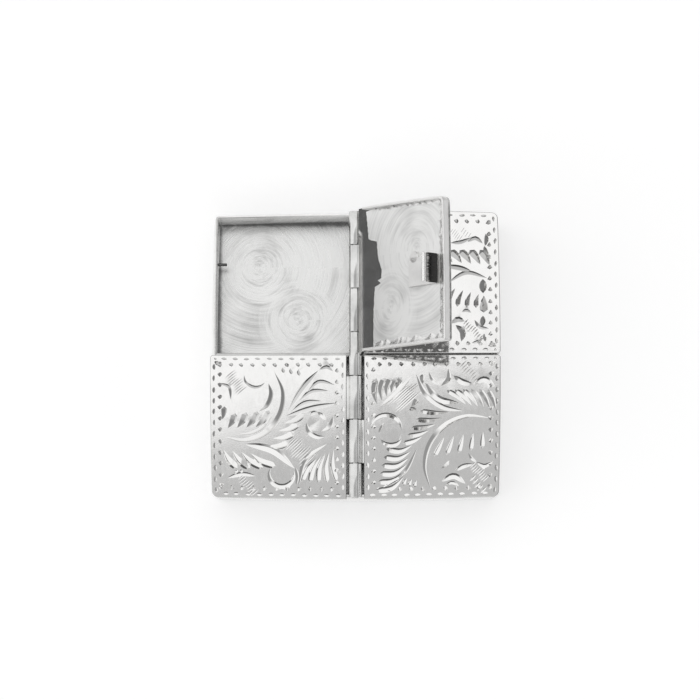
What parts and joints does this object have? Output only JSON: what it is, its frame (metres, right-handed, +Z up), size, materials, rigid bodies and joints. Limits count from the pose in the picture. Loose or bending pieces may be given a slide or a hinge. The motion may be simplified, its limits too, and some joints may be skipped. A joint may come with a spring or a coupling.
{
  "type": "pill box",
  "caption": "Flat square metal pill box: compartments under separately opening engraved lids that share one central hinge.",
  "frame": {"origin": "middle of the flat bottom, on the table", "axes": "+Z up, +Y along the hinge, +X towards the right-hand lids"},
  "size_m": [0.04, 0.04, 0.024],
  "materials": {
    "engraved_silver": "polished sterling silver with bright-cut scroll and leaf engraving",
    "polished_silver": "polished sterling silver, fine hairline scratches",
    "brushed_silver": "hand-brushed sterling silver with swirling arcs",
    "hinge_silver": "polished drawn silver tube, lines along its length",
    "catch_silver": "spring-hard silver sheet, lightly tarnished"
  },
  "bodies": {
    "base": {"base_plate": "brushed_silver", "outer_wall": "polished_silver", "centre_wall": "polished_silver", "cross_wall_left": "polished_silver", "cross_wall_right": "polished_silver", "base_knuckle_upper": "hinge_silver", "base_knuckle_middle": "hinge_silver", "base_knuckle_lower": "hinge_silver", "hinge_pin": "hinge_silver", "peg_upper_left": "catch_silver", "peg_upper_right": "catch_silver", "peg_lower_left": "catch_silver", "peg_lower_right": "catch_silver"},
    "upper_left_lid": {"upper_left_lid_plate": "engraved_silver", "upper_left_lid_rim": "polished_silver", "upper_left_lid_lining": "brushed_silver", "upper_left_lid_knuckle": "hinge_silver", "upper_left_lid_catch": "catch_silver"},
    "upper_right_lid": {"upper_right_lid_plate": "engraved_silver", "upper_right_lid_rim": "polished_silver", "upper_right_lid_lining": "brushed_silver", "upper_right_lid_knuckle": "hinge_silver", "upper_right_lid_catch": "catch_silver"},
    "lower_left_lid": {"lower_left_lid_plate": "engraved_silver", "lower_left_lid_rim": "polished_silver", "lower_left_lid_lining": "brushed_silver", "lower_left_lid_knuckle": "hinge_silver", "lower_left_lid_catch": "catch_silver"},
    "lower_right_lid": {"lower_right_lid_plate": "engraved_silver", "lower_right_lid_rim": "polished_silver", "lower_right_lid_lining": "brushed_silver", "lower_right_lid_knuckle": "hinge_silver", "lower_right_lid_catch": "catch_silver"}
  },
  "joints": [
    {"name": "upper_left_lid_hinge", "type": "hinge", "parent": "base", "child": "upper_left_lid", "pos_m": [0, 0, 0.00795], "axis": [0, 1, 0], "range_deg": [-131, 0]},
    {"name": "upper_right_lid_hinge", "type": "hinge", "parent": "base", "child": "upper_right_lid", "pos_m": [0, 0, 0.00795], "axis": [0, -1, 0], "range_deg": [0, 43]},
    {"name": "lower_left_lid_hinge", "type": "hinge", "parent": "base", "child": "lower_left_lid", "pos_m": [0, 0, 0.00795], "axis": [0, 1, 0], "range_deg": [0, 85]},
    {"name": "lower_right_lid_hinge", "type": "hinge", "parent": "base", "child": "lower_right_lid", "pos_m": [0, 0, 0.00795], "axis": [0, -1, 0], "range_deg": [0, 85]}
  ]
}
